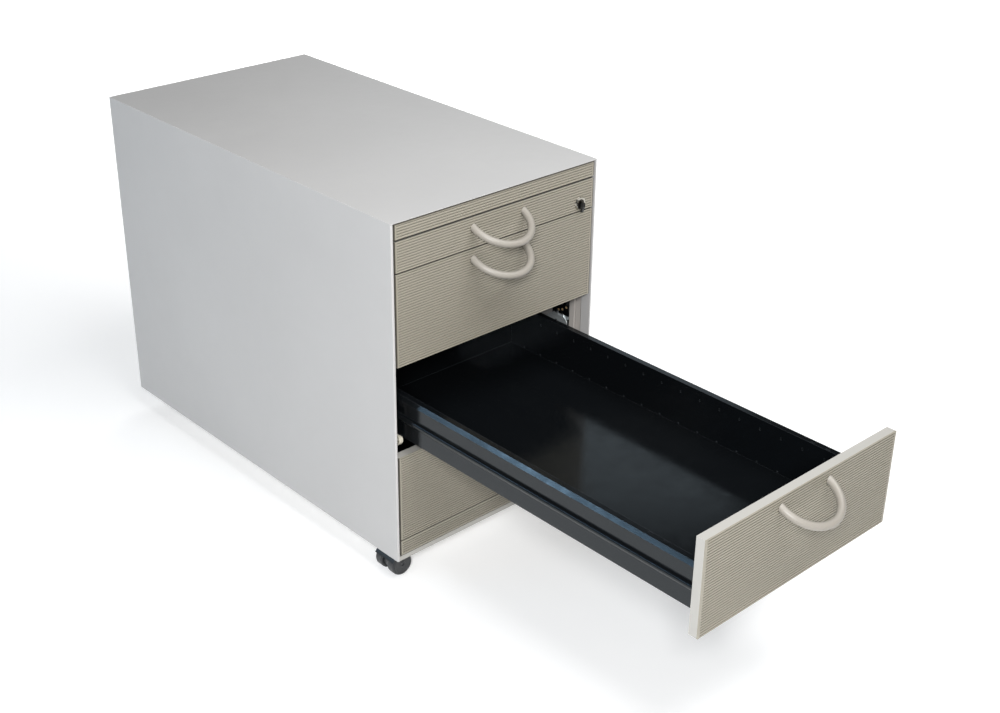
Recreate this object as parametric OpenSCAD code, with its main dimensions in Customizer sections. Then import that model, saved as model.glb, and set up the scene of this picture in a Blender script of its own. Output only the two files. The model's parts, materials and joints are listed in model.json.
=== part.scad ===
// Steel mobile pedestal: a sheet-steel carcass on four twin-wheel castors, with a pencil drawer
// above three equal drawers on roller runners, and a lock with a folding key. Drawer 3 stands open.
// Origin at the centre of the carcass footprint on the floor, front towards -Y, +Z up, millimetres.

/* [Carcass] */
// Width of the carcass
body_w = 430; // [430:1:436]
// Depth of the carcass
body_d = 800; // [796:1:830]
// Height of the carcass without its castors
body_h = 590; // [590:1:600]
// Clearance between the floor and the carcass
floor_gap = 45; // [45:0.5:50]
// Thickness of the carcass sheet
sheet_t = 1; // [0.8:0.1:1.2]
// Width of the folded front edge of a side wall
edge_w = 3.5; // [3:0.1:3.6]

/* [Fronts] */
// Pitch of the grooves that run across every front
groove_pitch = 4.36; // [4.3:0.01:4.4]
// Depth of the grooves
groove_depth = 1.3; // [0.6:0.1:1.5]
// Plain margin beside the ends of the grooves
groove_margin = 4; // [3:0.5:6]
// Thickness of a drawer front, skin and pan together
front_t = 16; // [15:0.5:17]
// Gap between two fronts, one above the other
front_gap = 3; // [2.5:0.1:3.5]
// Gap between a front and the side walls
side_gap = 3.5; // [3:0.1:4]
// Height of the first gap above the carcass bottom
first_gap_z = 37.2; // [36:0.1:38]

/* [Drawers] */
// Travel of a drawer from shut to fully out
travel = 612; // [500:1:620]
// How far drawer 3 stands open
open_3 = 612; // [0:1:620]
// Depth of a drawer box, front to back
box_d = 750; // [740:1:752]
// Distance between the inner faces of a drawer's sides
box_in_w = 351; // [349:1:352]
// Height of a file drawer's sides above its floor
side_h = 78; // [70:1:84]
// Spacing of the divider slots along a drawer's sides
slot_pitch = 40; // [30:1:50]

/* [Handles] */
// Distance between the two feet of a handle
handle_span = 106; // [96:1:120]
// Diameter of the handle's round bar
handle_d = 12; // [10:0.5:13]
// Downward tilt of the handle bow
handle_tilt = 27; // [15:1:32]
// Height of a front's top edge above its handle
handle_drop = 17.3; // [15:0.1:20]

/* [Runners] */
// Diameter of the nylon rollers
roller_d = 20; // [18:0.5:20]
// Width of the nylon rollers
roller_w = 7.5; // [6:0.5:7.5]
// Diameter of the roller pins
pin_d = 6; // [5:0.5:6]

/* [Lock] */
// Diameter of the lock's visible ring
lock_ring_d = 22; // [20:0.5:24]
// Distance of the lock from the carcass centre
lock_x = 178.5; // [178:0.5:181]
// Height of the lock above the pencil front's lower edge
lock_dz = 13; // [12.5:0.1:14]
// How far the lock bar rises when the key turns
lock_lift = 8; // [6:0.5:8]

/* [Castors] */
// Diameter of a castor wheel
wheel_d = 40; // [38:0.5:40]
// Width of one castor wheel
wheel_w = 17; // [14:0.5:17]
// Overall width of a twin-wheel castor
castor_w = 48; // [47:0.5:50]
// Distance from the swivel axis to the wheel axle
castor_trail = 18; // [16:0.5:20]
// Inset of the front castors from the side and the front
front_inset = 42; // [41:0.5:44]
// Inset of the rear castors from the sides
rear_inset = 60; // [58:0.5:64]

/* [Hidden] */
$fn = 48;

// Colours
wall_grey = "#c6c7c8";
strip_grey = "#bdbbb6";
front_beige = "#989386";
handle_beige = "#b5afa6";
inner_black = "#17191b";
nylon = "#dcd8c8";
zinc = "#a9adb0";
steel = "#8c8f92";
brass = "#b49a68";
castor_black = "#2b2d2f";

// Carcass planes
half_w = body_w / 2;
half_d = body_d / 2;
front_y = -half_d;
wall_in_x = half_w - sheet_t;
top_z = floor_gap + body_h;
edge_r = 2;

// Fronts
unit = 12 * groove_pitch;
front_w = body_w - 2 * (edge_w + side_gap);
front_face_y = front_y + 0.5;
skin_t = 1.9;
pan_t = 1;
pan_face_y = front_face_y + skin_t;
pan_back_y = front_face_y + front_t;
pan_lip = 8;
lip_h = 8.5;
top_gap = 1.7;

// Front posts
post_x = half_w - edge_w;
post_step = 3.9;
post_step_y = front_y + 32.4;
post_back_y = front_y + 43.5;
return_y = front_y + 20;
seam_y = return_y + 1;
post_low = floor_gap + 30.5;

// Drawer boxes, heights counted from the lower edge of the drawer's front
box_front_y = pan_back_y;
box_back_y = box_front_y + box_d;
in_x = box_in_w / 2;
plate_t = 1.2;
out_x = in_x + 13.9;
rim_x = in_x + 9.8;
bead_r = 6.5;
bead_x = out_x - 0.9;
bead_dz = 35.5;
shoulder_h = 6.5;
pencil_side_h = 22;

// Runners
roller_r = roller_d / 2;
roller_gap = 0.3;
roller_x = 184;
rail_in_x = 183;
web_x = 200;
web_t = 1.2;
front_roller_y = front_y + 29;
pencil_roller_y = front_y + 50;
rear_roller_y = box_back_y - 13;
rail_back_y = box_back_y + 4;
flange_t = 1.2;
hold_down_gap = 1.5;

// Uprights that carry the runners
upright_x = web_x + web_t;
front_upright_y = front_y + 44;
rear_upright_y = half_d - 52;
upright_w = 34;
upright_lip = 10;

// Lock
plug_d = 14;
cam_r = lock_lift / 2 / sin(45);
cam_angle = 225;
slot_clear = 0.5;
bar_x = upright_x + 3;
bar_t = 2;
key_hinge_y = front_face_y - 6.8;

// Castors
axle_z = wheel_d / 2;
axle_d = 6;
stem_d = 11;
socket_h = 34;
front_castor_y = front_y + front_inset;
rear_castor_y = half_d - rear_inset;

function units(n) = n == 1 ? 1 : 3;
function front_z(n) = floor_gap + first_gap_z + front_gap / 2 + (n == 1 ? 9 : 3 * (4 - n)) * unit;
function front_h(n) = units(n) * unit - front_gap;
function floor_z(n) = front_z(n) + (n == 1 ? 25 : 17);
function edge_z(n) = floor_z(n) + 7;
function rim_z(n) = floor_z(n) + (n == 1 ? pencil_side_h : side_h);
function roller_z(n) = edge_z(n) - roller_gap - roller_r;
function opened(n) = n == 3 ? open_3 : 0;
function handle_z(n) = front_z(n) + front_h(n) - handle_drop;
function bead_top(n) = edge_z(n) + bead_dz + bead_r;
function hold_down_z(n) = (n == 1 ? rim_z(n) : bead_top(n)) + hold_down_gap;

// A box given by its lowest and highest corners
module block(low, high) {
    translate(low) cube(high - low);
}

// A round bar along X, from x0 to x1
module bar_along_x(r, x0, x1, y, z) {
    translate([x0, y, z]) rotate([0, 90, 0]) cylinder(r = r, h = x1 - x0);
}

// A round bar along Y, from y0 to y1
module bar_along_y(r, x, y0, y1, z) {
    translate([x, y0, z]) rotate([-90, 0, 0]) cylinder(r = r, h = y1 - y0);
}

// An outline in Y and Z, drawn out along X
module drawn_along_x(x0, x1, outline) {
    translate([x0, 0, 0]) rotate([90, 0, 90]) linear_extrude(height = x1 - x0) polygon(outline);
}

// An outline in X and Z, drawn out along Y
module drawn_along_y(y0, y1) {
    translate([0, y1, 0]) rotate([90, 0, 0]) linear_extrude(height = y1 - y0) children();
}

module both_sides() {
    children();
    mirror([1, 0, 0]) children();
}

module at_drawer(n) {
    translate([0, -opened(n), 0]) children();
}

// ---- Carcass ----

// One side wall: rounded front edge that returns inwards, and folded rear edge
module side_wall() {
    block([wall_in_x, front_y + edge_r, floor_gap], [half_w, half_d, top_z - sheet_t]);
    translate([half_w - edge_r, front_y + edge_r, floor_gap]) intersection() {
        difference() {
            cylinder(r = edge_r, h = body_h - sheet_t);
            translate([0, 0, -1]) cylinder(r = edge_r - sheet_t, h = body_h + 2);
        }
        translate([0, -edge_r, 0]) cube([edge_r, edge_r, body_h]);
    }
    block([post_x, front_y, floor_gap], [half_w - edge_r, front_y + sheet_t, top_z - sheet_t]);
    block([post_x, front_y + sheet_t, post_low], [post_x + sheet_t, return_y, top_z - sheet_t]);
    block([wall_in_x - 12, half_d - sheet_t, floor_gap], [wall_in_x, half_d, top_z - sheet_t]);
}

module carcass_shell() {
    color(wall_grey) difference() {
        union() {
            both_sides() side_wall();
            block([-half_w, front_y, top_z - sheet_t], [half_w, half_d, top_z]);
            block([-wall_in_x, half_d - sheet_t, top_z - 13], [wall_in_x, half_d, top_z - sheet_t]);
        }
        back_rivet_places() bar_along_y(1.6, 0, -3, 1, 0);
    }
}

module back_panel() {
    panel_top = top_z - sheet_t - 0.5;
    color(wall_grey) difference() {
        block([-wall_in_x, half_d - 2 * sheet_t, floor_gap], [wall_in_x, half_d - sheet_t, panel_top]);
        back_rivet_places() bar_along_y(1.6, 0, -3, 1, 0);
    }
}

// Rivet places round the edge of the back panel, on its outer face
module back_rivet_places() {
    for (side = [-1, 1], i = [0:4])
        translate([side * (wall_in_x - 6), half_d, floor_gap + 30 + i * (body_h - 60) / 4]) children();
}

module back_panel_rivets() {
    color(steel) back_rivet_places() {
        bar_along_y(1.5, 0, -2 * sheet_t, 0, 0);
        translate([0, 0.6, 0]) rotate([-90, 0, 0]) cylinder(r1 = 3, r2 = 2.2, h = 0.6);
        bar_along_y(3, 0, 0, 0.6, 0);
    }
}

// Floor of the carcass, with its visible front lip and bores for the castor stems
module base_pan() {
    edge_x = wall_in_x;
    inner_x = edge_x - plate_t;
    lip_x = post_x - 0.3;
    color(strip_grey) difference() {
        union() {
            block([-edge_x, front_y + edge_r, floor_gap], [edge_x, half_d - 2, floor_gap + plate_t]);
            block([-lip_x, front_y + 0.5, floor_gap], [lip_x, front_y + edge_r, floor_gap + plate_t]);
            block([-lip_x, front_y + 0.5, floor_gap], [lip_x, front_y + 1.7, floor_gap + lip_h]);
            both_sides() block([inner_x, front_y + edge_r, floor_gap],
                               [edge_x, half_d - 2, floor_gap + 30]);
            block([-edge_x, half_d - 3.2, floor_gap], [edge_x, half_d - 2, floor_gap + 30]);
        }
        castor_places() translate([0, 0, floor_gap - 1]) cylinder(d = stem_d + 0.2, h = plate_t + 2);
    }
}

// Stepped steel post behind each front edge of the side walls
module post_outline() {
    back_x = post_x - post_step;
    behind_x = post_x + sheet_t;
    polygon([
        [behind_x, front_y + edge_r], [behind_x + sheet_t, front_y + edge_r],
        [behind_x + sheet_t, post_step_y + sheet_t], [back_x + sheet_t, post_step_y + sheet_t],
        [back_x + sheet_t, post_back_y - sheet_t], [wall_in_x, post_back_y - sheet_t],
        [wall_in_x, post_back_y], [back_x, post_back_y], [back_x, post_step_y],
        [post_x, post_step_y], [post_x, seam_y], [behind_x, seam_y]
    ]);
}

module front_posts() {
    color(strip_grey) both_sides() translate([0, 0, post_low])
        linear_extrude(height = top_z - 1.5 - post_low) post_outline();
}

// Open channel against a side wall, its two lips facing the drawers
module upright(y) {
    low = post_low;
    high = top_z - 1.5;
    block([wall_in_x - plate_t, y, low], [wall_in_x, y + upright_w, high]);
    block([upright_x, y, low], [wall_in_x - plate_t, y + plate_t, high]);
    block([upright_x, y + upright_w - plate_t, low], [wall_in_x - plate_t, y + upright_w, high]);
    block([upright_x, y + plate_t, low], [upright_x + plate_t, y + upright_lip, high]);
    block([upright_x, y + upright_w - upright_lip, low],
          [upright_x + plate_t, y + upright_w - plate_t, high]);
}

module uprights() {
    color(inner_black) both_sides() {
        upright(front_upright_y);
        upright(rear_upright_y);
    }
}

// A steel pan open at the back: face plate, four edges and two side lips
module pan(low_z, high_z, half) {
    block([-half, pan_face_y, low_z], [half, pan_face_y + pan_t, high_z]);
    block([-half, pan_face_y + pan_t, low_z], [half, pan_back_y, low_z + pan_t]);
    block([-half, pan_face_y + pan_t, high_z - pan_t], [half, pan_back_y, high_z]);
    both_sides() {
        block([half - pan_t, pan_face_y + pan_t, low_z + pan_t], [half, pan_back_y, high_z - pan_t]);
        block([half - pan_lip, pan_back_y - pan_t, low_z + pan_t],
              [half - pan_t, pan_back_y, high_z - pan_t]);
    }
}

strip_low = front_z(1) + front_h(1) + front_gap + 1;
strip_high = top_z - sheet_t - top_gap;
plinth_low = floor_gap + lip_h + 1;
plinth_high = front_z(4) - front_gap;

// Fixed strips: a pan with two feet that reach back to the posts
module fixed_strip(low_z, high_z) {
    pan(low_z, high_z, front_w / 2);
    both_sides() block([front_w / 2 - pan_lip, pan_back_y, low_z + 4],
                       [post_x, pan_back_y + plate_t, high_z - 4]);
}

module top_strip() {
    color(strip_grey) fixed_strip(strip_low, strip_high);
}

module plinth_strip() {
    color(strip_grey) fixed_strip(plinth_low, plinth_high);
}

// Skin of a front: rounded lands between narrow grooves, plain at both ends
module grooved_skin(low_z, high_z, half) {
    height = high_z - low_z;
    count = floor((height - 1) / groove_pitch);
    first = low_z + (height - count * groove_pitch) / 2;
    back = front_face_y + skin_t;
    floor_y = front_face_y + groove_depth;
    outline = concat(
        [[back, low_z], [front_face_y, low_z]],
        [for (i = [0:count - 1], p = [
            [0.50, front_face_y], [0.64, front_face_y + 0.4 * groove_depth],
            [0.72, floor_y], [0.84, floor_y],
            [0.92, front_face_y + 0.4 * groove_depth], [1.06, front_face_y]
        ]) [p[1], first + (i + p[0] - 0.28) * groove_pitch]],
        [[front_face_y, high_z], [back, high_z]]
    );
    drawn_along_x(groove_margin - half, half - groove_margin, outline);
    both_sides() block([half - groove_margin, front_face_y, low_z], [half, back, high_z]);
}

module strip_skins() {
    color(front_beige) {
        grooved_skin(strip_low, strip_high, front_w / 2);
        grooved_skin(plinth_low, plinth_high, front_w / 2);
    }
}

// ---- Runners ----

// One carcass rail: web, lower running flange and upper hold-down flange
module rail(n) {
    rail_front_y = n == 1 ? pencil_roller_y - 6 : front_roller_y - 6;
    flange_front_y = (n == 1 ? pencil_roller_y : front_roller_y) + roller_r + 5;
    run_z = roller_z(n) - roller_r - roller_gap;
    top = hold_down_z(n) + flange_t;
    hold_x = n == 1 ? rim_x + 1 : out_x + 1.6;
    block([web_x, rail_front_y, run_z - flange_t], [upright_x, rail_back_y, top]);
    block([rail_in_x, flange_front_y, run_z - flange_t], [web_x, rail_back_y, run_z]);
    block([hold_x, flange_front_y, hold_down_z(n)], [web_x, rail_back_y, top]);
}

module drilled_rail(n) {
    y = n == 1 ? pencil_roller_y : front_roller_y;
    difference() {
        rail(n);
        bar_along_x(pin_d / 2, web_x - 1, upright_x + 1, y, roller_z(n));
    }
}

module runner_rails_right() {
    color(inner_black) for (n = [1:4]) drilled_rail(n);
}

module runner_rails_left() {
    color(inner_black) mirror([1, 0, 0]) for (n = [1:4]) drilled_rail(n);
}

// Headed pin with a collar; the roller turns between collar and head
module front_roller_pin(y, z) {
    bar_along_x(pin_d / 2, roller_x - 1, upright_x, y, z);
    bar_along_x(4.6, roller_x + roller_w + 0.4, web_x, y, z);
    bar_along_x(4.5, roller_x - 1, roller_x - 0.2, y, z);
}

module front_roller_pins() {
    color(zinc) both_sides() for (n = [1:4])
        front_roller_pin(n == 1 ? pencil_roller_y : front_roller_y, roller_z(n));
}

// Rivets that hold each rail to its two uprights
module rail_rivets() {
    color(zinc) both_sides() for (n = [1:4], y = [front_upright_y + 5, rear_upright_y + 5])
        bar_along_x(3, web_x - 1.2, web_x, y, (hold_down_z(n) + roller_z(n)) / 2);
}

// Nylon roller, bored for its pin, with a deep recess in the face towards the wall
module roller(x) {
    rim_in_r = roller_r - 1.6;
    hub_r = 5;
    deep = roller_w - 4.5;
    translate([x, 0, 0]) rotate([0, 90, 0]) difference() {
        rotate_extrude() polygon([
            [pin_d / 2 + 0.05, 0], [hub_r, 0], [hub_r, 1.2], [rim_in_r, 1.2], [rim_in_r, 0],
            [roller_r - 0.5, 0], [roller_r, 0.5], [roller_r, roller_w - 0.5],
            [roller_r - 0.5, roller_w], [rim_in_r, roller_w], [rim_in_r, deep], [hub_r, deep],
            [hub_r, roller_w], [pin_d / 2 + 0.05, roller_w]
        ]);
        translate([(hub_r + rim_in_r) / 2, 0, -1]) cylinder(d = 1.2, h = roller_w + 2);
    }
}

module roller_pair(y, z) {
    color(nylon) both_sides() translate([0, y, z]) roller(roller_x);
}

module front_rollers(n) {
    roller_pair(n == 1 ? pencil_roller_y : front_roller_y, roller_z(n));
}

module rear_rollers(n) {
    at_drawer(n) roller_pair(rear_roller_y, roller_z(n));
}

// ---- Drawers ----

// Hollow folded section of a right-hand drawer side, in X and Z, with a round bead on file drawers
module side_section(n) {
    low = floor_z(n);
    edge = edge_z(n);
    rim = rim_z(n);
    difference() {
        union() {
            polygon([
                [in_x, low], [in_x + plate_t, low], [in_x + plate_t, edge], [out_x, edge],
                [out_x, rim - shoulder_h], [rim_x, rim], [in_x, rim]
            ]);
            if (n > 1) translate([bead_x, edge + bead_dz]) circle(r = bead_r);
        }
        polygon([
            [in_x + 1, edge + 1], [out_x - 1, edge + 1],
            [out_x - 1, rim - shoulder_h - 0.3], [rim_x - 0.5, rim - 1], [in_x + 1, rim - 1]
        ]);
        if (n > 1) translate([bead_x, edge + bead_dz]) circle(r = bead_r - 1);
    }
}

// Slots for dividers along the top of the inner wall, and small lugs along the floor
slot_count = 18;
module divider_slots(n) {
    for (i = [0:slot_count - 1])
        translate([in_x, box_front_y + 35 + i * slot_pitch, rim_z(n) - 17])
            block([-0.5, -1, -2], [1.5, 1, 2]);
}

// Two short slots in the flat top of a side, near the front
module rim_slots(n) {
    for (y = [73, 100]) translate([in_x + 2.4, box_front_y + y, rim_z(n)])
        block([-1.1, -3.5, -2], [1.1, 3.5, 1]);
}

module floor_lugs(n) {
    for (i = [0:slot_count - 1])
        bar_along_x(1.3, in_x - 0.7, in_x + 0.5, box_front_y + 35 + i * slot_pitch, floor_z(n) + 3.2);
}

module drawer_side(n) {
    drop_low = roller_z(n) - 7;
    difference() {
        union() {
            drawn_along_y(box_front_y, box_back_y) side_section(n);
            block([in_x, box_back_y - 26, drop_low], [in_x + plate_t, box_back_y, edge_z(n)]);
            if (n > 1) floor_lugs(n);
        }
        bar_along_x(pin_d / 2, in_x - 1, in_x + plate_t + 0.5, rear_roller_y, roller_z(n));
        if (n > 1) {
            divider_slots(n);
            rim_slots(n);
        }
    }
}

// Tab on the right side that the lock bar catches
module catch_tab(n) {
    y = front_upright_y + 30;
    block([out_x, y, rim_z(n) - 16], [out_x + 5, y + 2, rim_z(n) - 9]);
}

module drawer_sides(n) {
    color(inner_black) at_drawer(n) {
        both_sides() drawer_side(n);
        if (n > 1) catch_tab(n);
    }
}

// Floor with its front and back walls between the two sides
module drawer_tray(n) {
    wall_top = rim_z(n) - 1;
    color(inner_black) at_drawer(n) {
        block([-in_x, box_front_y, floor_z(n)], [in_x, box_back_y, floor_z(n) + 1]);
        block([-in_x, box_front_y, floor_z(n) + 1], [in_x, box_front_y + 1, wall_top]);
        block([-in_x, box_back_y - 1, floor_z(n) + 1], [in_x, box_back_y, wall_top]);
        block([-in_x, box_back_y - 6, wall_top - 1], [in_x, box_back_y - 1, wall_top]);
        if (n == 1) block([150, front_upright_y + 5, front_z(1) + 4],
                          [164, front_upright_y + 7, floor_z(1)]);
    }
}

module handle_holes(n, r) {
    both_sides() bar_along_y(r, handle_span / 2, front_face_y - 7, pan_back_y, handle_z(n));
}

module lock_hole(r) {
    bar_along_y(r, lock_x, front_face_y - 5, pan_back_y + 5, front_z(1) + lock_dz);
}

module drawer_front(n) {
    low = front_z(n);
    high = low + front_h(n);
    color(strip_grey) at_drawer(n) difference() {
        union() {
            pan(low, high, front_w / 2);
            block([-out_x, pan_back_y - pan_t, low + pan_t], [out_x, pan_back_y, high - pan_t]);
        }
        handle_holes(n, 5.5 - 3.2);
        both_sides() bar_along_y(5, handle_span / 2, pan_back_y - 2, pan_back_y + 1, handle_z(n));
        if (n == 1) lock_hole(9.2);
    }
}

module drawer_skin(n) {
    color(front_beige) at_drawer(n) difference() {
        grooved_skin(front_z(n), front_z(n) + front_h(n), front_w / 2);
        handle_holes(n, 2.3);
        if (n == 1) lock_hole(9.2);
    }
}

// Half-round bow whose feet are cut flush with the front
module drawer_handle(n) {
    r = handle_span / 2;
    color(handle_beige) at_drawer(n) difference() {
        translate([0, front_face_y, handle_z(n)]) rotate([handle_tilt, 0, 0]) rotate([0, 0, 180 - 8])
            rotate_extrude(angle = 180 + 16) translate([r, 0]) circle(d = handle_d);
        block([-r - 20, front_face_y, handle_z(n) - 20], [r + 20, front_face_y + 30, handle_z(n) + 20]);
        both_sides() bar_along_y(2.05, r, front_face_y - 6, front_face_y + 1, handle_z(n));
    }
}

// Handle screws, and the headed pins of the rear rollers
module drawer_fixings(n) {
    head_y = pan_face_y + pan_t;
    color(zinc) at_drawer(n) both_sides() {
        bar_along_y(2, handle_span / 2, front_face_y - 5.5, head_y, handle_z(n));
        bar_along_y(4, handle_span / 2, head_y, head_y + 2.6, handle_z(n));
        rear_roller_pin(n);
    }
}

module rear_roller_pin(n) {
    end_x = roller_x + roller_w;
    bar_along_x(pin_d / 2, in_x, end_x + 1, rear_roller_y, roller_z(n));
    bar_along_x(5, in_x + plate_t, roller_x - 0.3, rear_roller_y, roller_z(n));
    bar_along_x(4.5, end_x + 0.4, end_x + 1.6, rear_roller_y, roller_z(n));
}

// Moulded insert of the pencil drawer: long troughs for pens and square ones for small things
module pencil_tray() {
    low = floor_z(1) + 1;
    high = rim_z(1) - 3;
    half = in_x - 1;
    front = box_front_y + 2;
    back = front + 330;
    wall = 2;
    color(inner_black) difference() {
        block([-half, front, low], [half, back, high]);
        for (i = [0:3]) block([-half + wall, front + 4 + i * 38, low + 2],
                              [half - 120, front + 38 + i * 38, high + 1]);
        for (i = [0:2]) block([half - 116, front + 4 + i * 50.5, low + 2],
                              [half - wall, front + 50.5 + i * 50.5, high + 1]);
        block([-half + wall, front + 160, low + 2], [-2, back - wall, high + 1]);
        block([2, front + 160, low + 2], [half - wall, back - wall, high + 1]);
    }
}

// ---- Lock ----

lock_z = front_z(1) + lock_dz;

module lock_housing() {
    color("#c8ccce") difference() {
        union() {
            bar_along_y(9, lock_x, front_face_y, pan_back_y + 2, lock_z);
            translate([lock_x, front_face_y, lock_z]) rotate([90, 0, 0])
                cylinder(r1 = lock_ring_d / 2, r2 = lock_ring_d / 2 - 1, h = 2.2);
        }
        bar_along_y(plug_d / 2 + 0.05, lock_x, front_face_y - 4, pan_back_y + 4, lock_z);
    }
}

// Plug with its cam and cam pin, and the key blade that stands in its slot
module lock_plug() {
    color(steel) {
        bar_along_y(plug_d / 2, lock_x, front_face_y - 2.6, pan_back_y + 2.3, lock_z);
        bar_along_y(plug_d / 2 + 1, lock_x, pan_back_y + 2.3, pan_back_y + 4, lock_z);
        bar_along_y(2, lock_x + cam_r * cos(cam_angle), pan_back_y + 4, pan_back_y + 14,
                    lock_z + cam_r * sin(cam_angle));
        difference() {
            block([lock_x - 1, key_hinge_y - 2.2, lock_z - 3.5],
                  [lock_x + 1, front_face_y - 2.6, lock_z + 3.5]);
            bar_along_x(1.05, lock_x - 2, lock_x + 2, key_hinge_y, lock_z);
        }
    }
}

// Folding bow of the key, hanging from its pin
module key_bow() {
    length = 14.5;
    width = 6;
    tip_r = 1.4;
    left = lock_x - 2.2;
    right = lock_x + 2.2;
    back_y = key_hinge_y + width / 2;
    tip_z = lock_z - length + tip_r;
    color("#101112") difference() {
        union() {
            bar_along_x(width / 2, left, right, key_hinge_y, lock_z);
            drawn_along_x(left, right, [
                [back_y - width, lock_z], [back_y - width, lock_z - 3], [back_y - 2 * tip_r, tip_z],
                [back_y, tip_z], [back_y, lock_z]
            ]);
            bar_along_x(tip_r, left, right, back_y - tip_r, tip_z);
        }
        block([lock_x - 1.3, key_hinge_y - width, lock_z - 4.6],
              [lock_x + 1.3, key_hinge_y + width, lock_z + width]);
    }
    color(steel) bar_along_x(1, lock_x - 1.3, lock_x + 1.3, key_hinge_y, lock_z);
}

// Catch of one file drawer. The nose meets the drawer's tab; the plate, hood and spring face in.
module bar_catch(n) {
    arm_y = front_upright_y + 16;
    face_x = web_x - 5;
    low = hold_down_z(n) + 6;
    zero = front_z(n);
    color(zinc) {
        block([face_x, arm_y, low], [bar_x + bar_t, arm_y + 2, low + 12]);
        block([out_x + 1.2, arm_y + 4, low], [face_x + 1, arm_y + 6, rim_z(n) - 17.5]);
        difference() {
            union() {
                drawn_along_x(face_x, face_x + 1.2, [
                    [arm_y - 4, low], [arm_y + 8, low], [arm_y + 37, zero + 78],
                    [arm_y + 34, zero + 84], [arm_y + 9, zero + 103], [arm_y - 4, zero + 99]
                ]);
                translate([face_x + 5, arm_y, zero + 80]) cylinder(r = 5, h = 23);
                block([face_x, arm_y - 23, zero + 80], [face_x + 1.2, arm_y, zero + 100]);
            }
            bar_along_x(2.6, face_x - 1, face_x + 8, arm_y + 3, zero + 88);
            block([face_x + 5, arm_y - 6, zero + 79], [face_x + 12, arm_y + 6, zero + 104]);
        }
    }
    catch_spring(face_x, arm_y, zero);
}

// Strap with three rivets above the hood, and the bent spring wire that hangs from it
module catch_spring(x, y, zero) {
    color(zinc) block([x + 1.2, y - 25, zero + 98], [x + 2.4, y - 2, zero + 124]);
    color(brass) {
        for (p = [[-3.6, 111], [-12.5, 114.3], [-21.7, 120.4]])
            bar_along_x(2.2, x - 0.6, x + 1.2, y + p[0], zero + p[1]);
        translate([x + 0.4, y - 10.6, zero + 107]) rotate([139, 0, 0]) cylinder(r = 0.8, h = 19);
        translate([x + 0.4, y - 10.6, zero + 105.5]) cylinder(r = 0.8, h = 10);
    }
}

// Vertical bar that lifts when the key turns, with an arm to the cam and one catch a drawer
module lock_bar() {
    bar_y = front_upright_y + 8;
    arm_y = front_y + 29;
    cam_x = lock_x + cam_r * cos(cam_angle);
    cam_z = lock_z + cam_r * sin(cam_angle);
    arm_in_x = lock_x - cam_r - 5;
    low = front_z(1) - 24;
    high = front_z(1) - 8;
    color(zinc) {
        block([bar_x, bar_y, floor_gap + 60], [bar_x + bar_t, bar_y + 16, high]);
        block([188, bar_y + 3, low], [bar_x, bar_y + 5, high]);
        block([188, arm_y, low], [190, bar_y + 3, high]);
        difference() {
            block([arm_in_x, arm_y, low], [190, arm_y + 2, lock_z + 2]);
            block([lock_x - cam_r - 2 - slot_clear, arm_y - 1, cam_z - 2 - slot_clear],
                  [cam_x + 2 + slot_clear, arm_y + 3, cam_z + 2 + slot_clear]);
        }
        block([150, arm_y, low], [arm_in_x, arm_y + 2, front_z(1) - 1]);
    }
    for (n = [2:4]) bar_catch(n);
}

// ---- Base ----

module counterweight() {
    color(steel) block([-125, half_d - 145, floor_gap + plate_t],
                       [125, half_d - 10, floor_gap + plate_t + 25]);
}

// Swivel axes: [x, y, direction the wheels trail]
castors = [
    [-half_w + front_inset, front_castor_y, 180],
    [half_w - front_inset, front_castor_y, 180],
    [-half_w + rear_inset, rear_castor_y, 0],
    [half_w - rear_inset, rear_castor_y, 0]
];

module castor_places() {
    for (c = castors) translate([c[0], c[1], 0]) children();
}

module castor_sockets() {
    socket_r = stem_d / 2 + 3;
    color(steel) castor_places() translate([0, 0, floor_gap + plate_t]) difference() {
        union() {
            cylinder(r = socket_r, h = socket_h);
            cylinder(r = 15, h = 2);
        }
        translate([0, 0, -1]) cylinder(d = stem_d + 0.1, h = socket_h + 2);
    }
}

module at_castor(i) {
    c = castors[i];
    translate([c[0], c[1], 0]) rotate([0, 0, c[2]]) children();
}

// Body between the wheels: web, swivel boss, stem and the guard over the wheels
module castor_body(i) {
    web_w = castor_w - 2 * wheel_w - 1.4;
    guard_in = wheel_d / 2 + 0.8;
    guard_out = guard_in + 1.6;
    color(castor_black) at_castor(i) {
        difference() {
            union() {
                bar_along_y(15, castor_trail, -web_w / 2, web_w / 2, axle_z);
                block([0, -web_w / 2, axle_z], [castor_trail, web_w / 2, axle_z + 15]);
                translate([0, 0, axle_z - 6]) cylinder(d = web_w, h = floor_gap - axle_z + 4);
                translate([castor_trail, 0, axle_z]) rotate([90, 0, 0]) intersection() {
                    difference() {
                        cylinder(r = guard_out, h = castor_w - 1, center = true);
                        cylinder(r = guard_in, h = castor_w + 1, center = true);
                    }
                    translate([-guard_out, 10, -castor_w]) cube([2 * guard_out, 20, 2 * castor_w]);
                }
                block([castor_trail - 8, -web_w / 2, axle_z + 13],
                      [castor_trail, web_w / 2, axle_z + guard_in + 0.5]);
            }
            translate([castor_trail, 0, axle_z]) rotate([90, 0, 0])
                cylinder(d = axle_d + 0.1, h = web_w + 2, center = true);
        }
    }
    color(steel) at_castor(i) translate([0, 0, floor_gap - 2]) cylinder(d = stem_d, h = socket_h);
}

// Half section of one wheel, its outer face dished
module wheel() {
    r = wheel_d / 2;
    rotate_extrude() polygon([
        [axle_d / 2, 0], [r - 2, 0], [r - 0.6, 0.6], [r, 2.4], [r, wheel_w - 3.2],
        [r - 0.9, wheel_w - 1.1], [r - 3, wheel_w], [r - 4.5, wheel_w], [r - 5, wheel_w - 0.5],
        [5.5, wheel_w - 0.5], [5, wheel_w], [axle_d / 2, wheel_w]
    ]);
}

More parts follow.
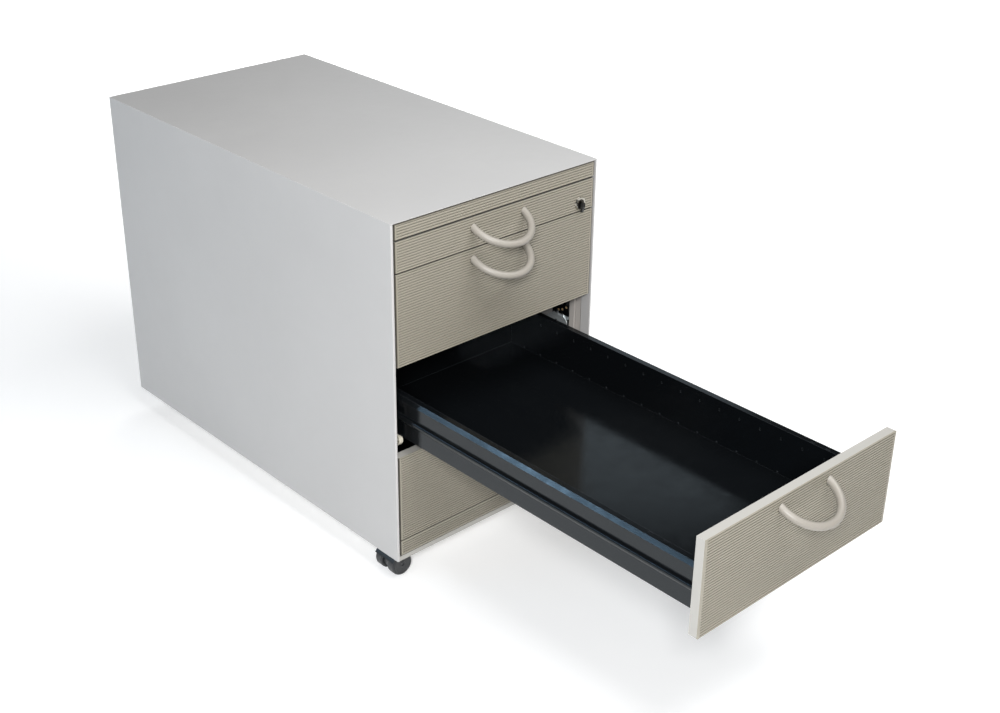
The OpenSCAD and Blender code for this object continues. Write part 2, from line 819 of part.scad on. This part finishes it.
module castor_wheels(i) {
    inner = castor_w / 2 - wheel_w;
    at_castor(i) translate([castor_trail, 0, axle_z]) {
        color(castor_black) {
            translate([0, -inner, 0]) rotate([90, 0, 0]) wheel();
            translate([0, inner, 0]) rotate([-90, 0, 0]) wheel();
        }
        color(steel) bar_along_y(axle_d / 2, 0, -castor_w / 2 + 1, castor_w / 2 - 1, 0);
    }
}

carcass_shell();
back_panel();
base_pan();
front_posts();
uprights();
top_strip();
plinth_strip();
strip_skins();
runner_rails_left();
runner_rails_right();
front_roller_pins();
rail_rivets();
back_panel_rivets();
counterweight();
castor_sockets();
lock_bar();
drawer_sides(1);  // drawer_1_sides
drawer_tray(1);  // drawer_1_tray
drawer_front(1);  // drawer_1_front
drawer_skin(1);  // drawer_1_skin
drawer_handle(1);  // drawer_1_handle
drawer_fixings(1);  // drawer_1_fixings
pencil_tray();
lock_housing();
lock_plug();
key_bow();
drawer_sides(2);  // drawer_2_sides
drawer_tray(2);  // drawer_2_tray
drawer_front(2);  // drawer_2_front
drawer_skin(2);  // drawer_2_skin
drawer_handle(2);  // drawer_2_handle
drawer_fixings(2);  // drawer_2_fixings
drawer_sides(3);  // drawer_3_sides
drawer_tray(3);  // drawer_3_tray
drawer_front(3);  // drawer_3_front
drawer_skin(3);  // drawer_3_skin
drawer_handle(3);  // drawer_3_handle
drawer_fixings(3);  // drawer_3_fixings
drawer_sides(4);  // drawer_4_sides
drawer_tray(4);  // drawer_4_tray
drawer_front(4);  // drawer_4_front
drawer_skin(4);  // drawer_4_skin
drawer_handle(4);  // drawer_4_handle
drawer_fixings(4);  // drawer_4_fixings
front_rollers(1);  // front_rollers_1
front_rollers(2);  // front_rollers_2
front_rollers(3);  // front_rollers_3
front_rollers(4);  // front_rollers_4
rear_rollers(1);  // rear_rollers_1
rear_rollers(2);  // rear_rollers_2
rear_rollers(3);  // rear_rollers_3
rear_rollers(4);  // rear_rollers_4
castor_body(0);  // castor_front_left_body
castor_wheels(0);  // castor_front_left_wheels
castor_body(1);  // castor_front_right_body
castor_wheels(1);  // castor_front_right_wheels
castor_body(2);  // castor_rear_left_body
castor_wheels(2);  // castor_rear_left_wheels
castor_body(3);  // castor_rear_right_body
castor_wheels(3);  // castor_rear_right_wheels
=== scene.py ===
import json
import math

import bpy
from mathutils import Matrix, Vector

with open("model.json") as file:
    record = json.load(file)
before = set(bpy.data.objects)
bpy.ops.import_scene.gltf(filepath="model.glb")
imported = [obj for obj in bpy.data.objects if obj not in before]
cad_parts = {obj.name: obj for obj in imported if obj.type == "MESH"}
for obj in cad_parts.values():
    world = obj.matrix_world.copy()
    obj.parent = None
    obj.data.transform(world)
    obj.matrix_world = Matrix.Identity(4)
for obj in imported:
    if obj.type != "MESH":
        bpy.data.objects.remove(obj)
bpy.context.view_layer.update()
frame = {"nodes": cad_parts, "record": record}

NODES = frame["nodes"]

# The straps of the catches on the lock bar, painted near black as shade: how far they start above the
# bottom edge of a drawer's front, how high they are, and how far their face lies inside the bar's outer
# side
STRAP_RISE = 0.1034
STRAP_HEIGHT = 0.025
STRAP_DEPTH = 0.0116


def extreme(node, pick):
    """The lowest or the highest X, Y and Z of a node at rest, where pick is min or max."""
    return Vector([pick(corner[axis] for corner in NODES[node].bound_box) for axis in range(3)])


# ---- Colours and shaders ----

def srgb(red, green, blue):
    """A display colour from 0 to 255, as the linear colour a shader takes."""
    def linear(value):
        value /= 255
        return value / 12.92 if value <= 0.04045 else ((value + 0.055) / 1.055) ** 2.4
    return (linear(red), linear(green), linear(blue), 1)


def shaded(colour, gain, lift=0):
    """A colour made darker or lighter."""
    return tuple(min(1, value * gain + lift) for value in colour[:3]) + (1,)


class Shader:
    """A new material with a Principled shader, and short ways to add nodes to it."""

    # The Mix node's sockets for colours, which share their names with its sockets for numbers
    MIX_FIRST, MIX_SECOND, MIX_RESULT = 6, 7, 2

    def __init__(self, name):
        self.material = bpy.data.materials.new(name)
        self.material.use_nodes = True
        self.nodes = self.material.node_tree.nodes
        self.links = self.material.node_tree.links
        self.surface = self.nodes["Principled BSDF"]
        self.place = self.nodes.new("ShaderNodeTexCoord").outputs["Object"]

    def noise(self, scale, detail=3, stretch=(1, 1, 1)):
        mapping = self.nodes.new("ShaderNodeMapping")
        mapping.inputs["Scale"].default_value = stretch
        self.links.new(self.place, mapping.inputs["Vector"])
        noise = self.nodes.new("ShaderNodeTexNoise")
        noise.inputs["Scale"].default_value = scale
        noise.inputs["Detail"].default_value = detail
        self.links.new(mapping.outputs["Vector"], noise.inputs["Vector"])
        return noise.outputs["Fac"]

    def spread(self, value, low, high, start=0.3, end=0.7):
        """Maps a value from start..end to low..high. Most noise lies between 0.3 and 0.7."""
        spread = self.nodes.new("ShaderNodeMapRange")
        spread.inputs["From Min"].default_value = start
        spread.inputs["From Max"].default_value = end
        spread.inputs["To Min"].default_value = low
        spread.inputs["To Max"].default_value = high
        self.links.new(value, spread.inputs["Value"])
        return spread.outputs["Result"]

    def mix(self, factor, first, second):
        """The first colour where the factor is 0, and the second where it is 1."""
        mix = self.nodes.new("ShaderNodeMix")
        mix.data_type = "RGBA"
        self.links.new(factor, mix.inputs["Factor"])
        for colour, socket in ((first, self.MIX_FIRST), (second, self.MIX_SECOND)):
            if isinstance(colour, tuple):
                mix.inputs[socket].default_value = colour
            else:
                self.links.new(colour, mix.inputs[socket])
        return mix.outputs[self.MIX_RESULT]

    def calculate(self, operation, first, second=0):
        """A sum on a socket and a second value, which is a number or a socket."""
        step = self.nodes.new("ShaderNodeMath")
        step.operation = operation
        self.links.new(first, step.inputs[0])
        if isinstance(second, (int, float)):
            step.inputs[1].default_value = second
        else:
            self.links.new(second, step.inputs[1])
        return step.outputs["Value"]

    def axes(self):
        """The X, Y and Z of a point, in the object's own coordinates."""
        axes = self.nodes.new("ShaderNodeSeparateXYZ")
        self.links.new(self.place, axes.inputs["Vector"])
        return axes.outputs

    def edge_mask(self, radius=0.0012):
        """1 on sharp edges and 0 on flats, from how far a bevelled normal leans."""
        bevel = self.nodes.new("ShaderNodeBevel")
        bevel.samples = 4
        bevel.inputs["Radius"].default_value = radius
        normal = self.nodes.new("ShaderNodeNewGeometry").outputs["Normal"]
        lean = self.nodes.new("ShaderNodeVectorMath")
        lean.operation = "DOT_PRODUCT"
        self.links.new(bevel.outputs["Normal"], lean.inputs[0])
        self.links.new(normal, lean.inputs[1])
        return self.spread(lean.outputs["Value"], 1, 0, start=0.75, end=0.99)

    def crevices(self, reach):
        """0 deep in a gap or groove and 1 on open faces, as a mask for painted shade."""
        occlusion = self.nodes.new("ShaderNodeAmbientOcclusion")
        occlusion.samples = 8
        occlusion.inputs["Distance"].default_value = reach
        return self.spread(occlusion.outputs["AO"], 0, 1, start=0.25, end=0.95)

    def seam_shadows(self, half_width, top, line=0.0011, blur=0.0003):
        """1 in a thin line at the two ends and the top edge, where a front meets the carcass: a painted
        shadow line.
        """
        axes = self.axes()
        ends, edge = half_width - line, top - line
        side = self.spread(self.calculate("ABSOLUTE", axes["X"]), 0, 1, ends - blur, ends + blur)
        return self.calculate("MAXIMUM", side, self.spread(axes["Z"], 0, 1, edge - blur, edge + blur))

    def straps(self, lowest, pitch, height, face):
        """Two masks: the flat spring straps above the hoods of the catches, and the rivets on them.

        The lowest is where the first strap starts, and the pitch is the step to the next one. The
        rivets stand out from the face of the straps, towards -X."""
        axes = self.axes()
        above = self.calculate("FLOORED_MODULO", self.calculate("SUBTRACT", axes["Z"], lowest), pitch)
        in_height = self.calculate("LESS_THAN", above, height)
        flat = self.calculate("GREATER_THAN", axes["X"], face)
        raised = self.calculate("LESS_THAN", axes["X"], face)
        return [self.calculate("MULTIPLY", in_height, part) for part in (flat, raised)]

    def bump(self, height, distance):
        bump = self.nodes.new("ShaderNodeBump")
        bump.inputs["Distance"].default_value = distance
        bump.inputs["Strength"].default_value = 0.5
        self.links.new(height, bump.inputs["Height"])
        self.links.new(bump.outputs["Normal"], self.surface.inputs["Normal"])

    def colour(self, colour):
        self.links.new(colour, self.surface.inputs["Base Color"])

    def roughness(self, value):
        self.links.new(value, self.surface.inputs["Roughness"])


# ---- Kinds of surface ----

def powder_coat(name, base, wear_and_highlight, rough=0.45, peel=0.00012, gloss=0.45, tint=(1, 1, 1),
                crevice_shade=None, reach=0.006, seam_shadows=None):
    """Sprayed enamel on sheet steel: slight orange peel, faint blotches, thinner on its edges. The
    lighter edge colour is wear, and on the black coat also a painted highlight.

    With a shade colour, gaps and grooves narrower than about twice the reach get painted shade,
    and so do the seams, as thin painted shadow lines."""
    shader = Shader(name)
    blotches = shader.spread(shader.noise(scale=3.5, detail=4), 0, 1)
    colour = shader.mix(blotches, base, shaded(base, 0.95))
    # Lighter edges: a worn-thin coat, and on the black coat also a painted highlight along rims and
    # seams
    colour = shader.mix(shader.edge_mask(), colour, wear_and_highlight)
    # Painted shade in gaps and grooves narrower than about twice the reach, from ambient occlusion
    if crevice_shade:
        colour = shader.mix(shader.crevices(reach), crevice_shade, colour)
    # Painted shadow lines in the shade colour, where a front meets the carcass
    if seam_shadows:
        colour = shader.mix(shader.seam_shadows(*seam_shadows), colour, crevice_shade)
    shader.colour(colour)
    shader.roughness(shader.spread(shader.noise(scale=40, detail=5), rough - 0.03, rough + 0.05))
    shader.bump(shader.noise(scale=900, detail=2), peel)
    shader.surface.inputs["Specular IOR Level"].default_value = gloss
    shader.surface.inputs["Specular Tint"].default_value = (*tint, 1)
    return shader.material


def ribbed_skin(name, seam_shadows=None):
    """The enamel of the ribbed fronts, with painted shade in the grooves between the ribs."""
    return powder_coat(name, base=srgb(144, 139, 126), wear_and_highlight=srgb(162, 157, 143), rough=0.4,
                       peel=0.00001, crevice_shade=srgb(84, 80, 71), reach=0.0025, seam_shadows=seam_shadows)


def bare_metal(name, base, rough, stretch=(1, 1, 1), metallic=1, straps=None):
    """Plated or bare steel with fine scratches. A dull plating is less than fully metallic.

    The straps of the catches are painted near black as shade, and their rivets are brass."""
    strap_shade, brass = srgb(9, 10, 12), srgb(226, 196, 150)
    shader = Shader(name)
    patches = shader.spread(shader.noise(scale=60, detail=5, stretch=stretch), 0, 1)
    colour = shader.mix(patches, base, shaded(base, 0.8))
    if straps:
        strap, rivets = shader.straps(**straps)
        # Painted shade: the straps near black, with the brass rivets on them
        colour = shader.mix(strap, colour, strap_shade)
        colour = shader.mix(rivets, colour, brass)
    shader.colour(colour)
    shader.surface.inputs["Metallic"].default_value = metallic
    scratches = shader.noise(scale=220, detail=6, stretch=stretch)
    shader.roughness(shader.spread(scratches, rough - 0.08, rough + 0.1))
    shader.bump(shader.noise(scale=1500, detail=2, stretch=stretch), 0.00003)
    return shader.material


def moulded(name, base, rough):
    """Moulded plastic with a fine grain and faint scuffs."""
    shader = Shader(name)
    scuffs = shader.spread(shader.noise(scale=75, detail=6), 0, 0.6, start=0.5, end=0.8)
    shader.colour(shader.mix(scuffs, base, shaded(base, 1.35, lift=0.004)))
    shader.roughness(shader.spread(shader.noise(scale=110, detail=4), rough - 0.05, rough + 0.1))
    shader.bump(shader.noise(scale=2200, detail=2), 0.00006)
    return shader.material


# ---- Materials ----

strip_corner = extreme("strip_skins", max)
catch_straps = {
    "lowest": extreme("drawer_4_skin", min).z + STRAP_RISE,
    "pitch": extreme("drawer_3_skin", max).z - extreme("drawer_4_skin", max).z,
    "height": STRAP_HEIGHT,
    "face": extreme("lock_bar", max).x - STRAP_DEPTH,
}

wall_coat = powder_coat("wall_coat", base=srgb(182, 181, 180), wear_and_highlight=srgb(200, 199, 197),
                        crevice_shade=srgb(76, 72, 68), reach=0.0025)
pan_coat = powder_coat("pan_coat", base=srgb(171, 169, 164), wear_and_highlight=srgb(190, 188, 182),
                       crevice_shade=srgb(44, 41, 38))
post_coat = powder_coat("post_coat", base=srgb(176, 171, 166), wear_and_highlight=srgb(190, 188, 182),
                        crevice_shade=srgb(112, 107, 102), reach=0.002)
skin_coat = ribbed_skin("skin_coat", seam_shadows=(strip_corner.x, strip_corner.z))
open_skin_coat = ribbed_skin("open_skin_coat")
handle_coat = powder_coat("handle_coat", base=srgb(147, 142, 134), wear_and_highlight=srgb(162, 157, 148),
                          rough=0.4, peel=0.00003)
# Its light edge colour is partly wear and partly a painted highlight along the drawer's rims and floor
# seam
black_coat = powder_coat("black_coat", base=srgb(12, 14, 16), wear_and_highlight=srgb(56, 59, 62),
                         rough=0.15, peel=0.00001, gloss=0.32, tint=(0.84, 0.94, 1))
nylon = moulded("nylon", base=srgb(205, 200, 184), rough=0.4)
zinc = bare_metal("zinc", base=srgb(190, 194, 198), rough=0.38, stretch=(1, 1, 6), metallic=0.85)
catch_zinc = bare_metal("catch_zinc", base=srgb(206, 213, 215), rough=0.34, stretch=(1, 1, 6),
                        metallic=0.7, straps=catch_straps)
steel = bare_metal("steel", base=srgb(160, 162, 165), rough=0.3)
dark_steel = bare_metal("dark_steel", base=srgb(78, 75, 70), rough=0.35)
chrome = bare_metal("chrome", base=srgb(198, 194, 184), rough=0.22)
black_plastic = moulded("black_plastic", base=srgb(26, 27, 28), rough=0.45)
castor_plastic = moulded("castor_plastic", base=srgb(36, 38, 40), rough=0.35)

# The material for each paint, metal and plastic that the record names
FINISHES = {
    "wall_paint": wall_coat,
    "pan_paint": pan_coat,
    "front_skin": skin_coat,
    "handle_paint": handle_coat,
    "black_paint": black_coat,
    "nylon": nylon,
    "zinc": zinc,
    "steel": steel,
    "chrome": chrome,
    "black_plastic": black_plastic,
    "castor_plastic": castor_plastic,
}

# Pieces that look a little different from the rest of their paint or metal. The open drawer's front
# has no painted seam shadows, because nothing is beside it.
OWN_FINISHES = {
    "front_posts": post_coat,
    "drawer_3_skin": open_skin_coat,
    "lock_plug": dark_steel,
    "lock_bar": catch_zinc,
}

for subpart in frame["record"]["subparts"]:
    finish = OWN_FINISHES.get(subpart["node"], FINISHES[subpart["material_slot"]])
    for material_slot in NODES[subpart["node"]].material_slots:
        material_slot.material = finish


# ---- Floor, light and camera ----

def floor(width=40, drop=0.0005, glow=0.35):
    """A pale, faintly glowing floor just under the wheels, which reaches well past every view."""
    bpy.ops.mesh.primitive_plane_add(size=width, location=(0, 0, -drop))
    plane = bpy.context.object
    plane.name = "floor"
    shader = Shader("floor_pale")
    shader.colour(shader.mix(shader.noise(scale=2), srgb(232, 232, 232), srgb(228, 228, 228)))
    shader.surface.inputs["Roughness"].default_value = 0.9
    shader.surface.inputs["Emission Color"].default_value = (1, 1, 1, 1)
    shader.surface.inputs["Emission Strength"].default_value = glow
    plane.data.materials.append(shader.material)


def daylight(strength):
    """White light from every side."""
    world = bpy.context.scene.world or bpy.data.worlds.new("studio")
    bpy.context.scene.world = world
    world.use_nodes = True
    background = world.node_tree.nodes["Background"]
    background.inputs["Color"].default_value = (1, 1, 1, 1)
    background.inputs["Strength"].default_value = strength


def softbox(name, place, target, size, power, tint=(1, 1, 1), spread=180):
    """A rectangular area light that faces a point."""
    light = bpy.data.lights.new(name, "AREA")
    light.shape = "RECTANGLE"
    light.size, light.size_y = size
    light.energy = power
    light.color = tint
    light.spread = math.radians(spread)
    lamp = bpy.data.objects.new(name, light)
    lamp.location = place
    lamp.rotation_euler = (Vector(target) - Vector(place)).to_track_quat("-Z", "Y").to_euler()
    bpy.context.scene.collection.objects.link(lamp)


def studio():
    """A key and a top light, a bluish strip and window behind, and a light for the far floor."""
    daylight(strength=0.03)
    softbox("key", place=(-2.0, -2.4, 2.0), target=(0, -0.4, 0.3), size=(0.6, 0.6), power=100)
    softbox("top", place=(0.2, -1.3, 2.4), target=(0, -0.4, 0.3), size=(2.0, 1.4), power=55)
    softbox("strip", place=(-2.5, 1.17, 1.33), target=(0, -0.6, 0.3), size=(1.8, 0.12), power=11,
            tint=(0.5, 0.75, 1))
    softbox("window", place=(2.0, 1.5, 1.75), target=(0, -0.7, 0.26), size=(1.5, 0.9), power=2.9,
            tint=(0.8, 0.92, 1))
    softbox("backdrop", place=(2.6, 2.4, 2.6), target=(2.6, 2.4, 0), size=(3.2, 3.2), power=95,
            spread=100)


def photo_camera():
    """A view of the front and the left side from above, with a 53.7 mm lens."""
    place = Vector((-1.464, -1.972, 1.453))
    turn, tilt, roll = math.radians(43.06), math.radians(27.22), math.radians(0.80)
    camera = bpy.data.cameras.new("camera")
    camera.lens = 53.7
    camera.clip_end = 100
    holder = bpy.data.objects.new("camera", camera)
    aim = Matrix.Rotation(-turn, 4, "Z") @ Matrix.Rotation(math.pi / 2 - tilt, 4, "X")
    holder.matrix_world = Matrix.Translation(place) @ aim @ Matrix.Rotation(roll, 4, "Z")
    bpy.context.scene.collection.objects.link(holder)
    bpy.context.scene.camera = holder


floor()
studio()
photo_camera()
bpy.context.scene.view_settings.view_transform = "Standard"
